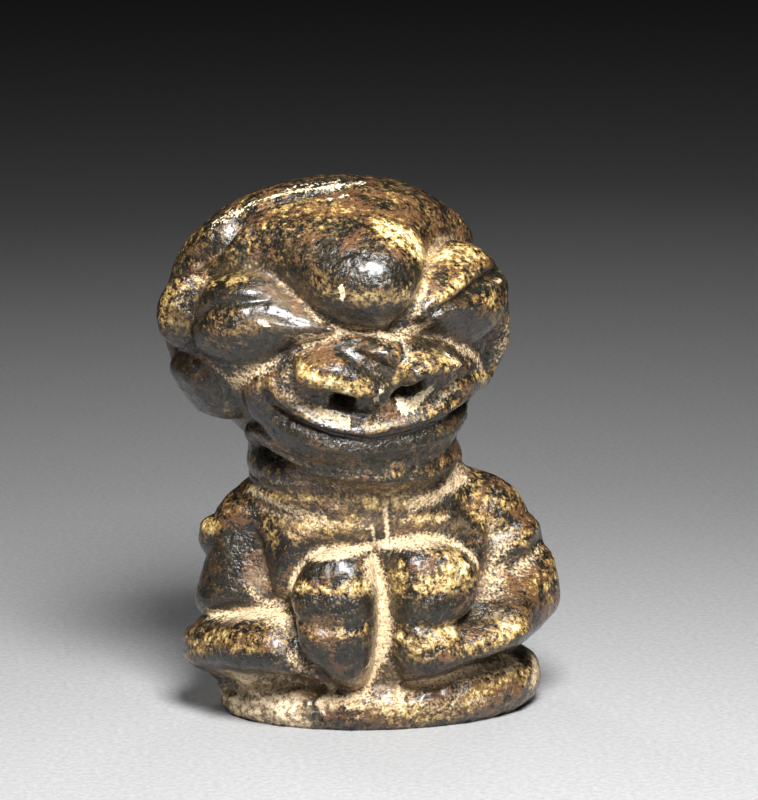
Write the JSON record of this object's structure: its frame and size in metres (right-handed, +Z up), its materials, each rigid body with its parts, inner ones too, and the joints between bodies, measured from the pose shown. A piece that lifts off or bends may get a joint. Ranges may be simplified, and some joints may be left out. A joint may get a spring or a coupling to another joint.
{
  "type": "female figure",
  "caption": "Small seated female figure in dark burnished clay, with a large snouted head, folded arms and a rolled base.",
  "frame": {"origin": "centre of the bounding box in plan, on the plane the foot stands on", "axes": "+Z up through the head, -Y the way the body faces, +X to the viewer's right in front of it"},
  "size_m": [0.0452, 0.0348, 0.06],
  "materials": {
    "clay": "burnished dark brown slip over fired clay, worn to ochre on the high spots, with pale earth in the grooves"
  },
  "bodies": {
    "root": {"figure": "clay"}
  },
  "joints": []
}
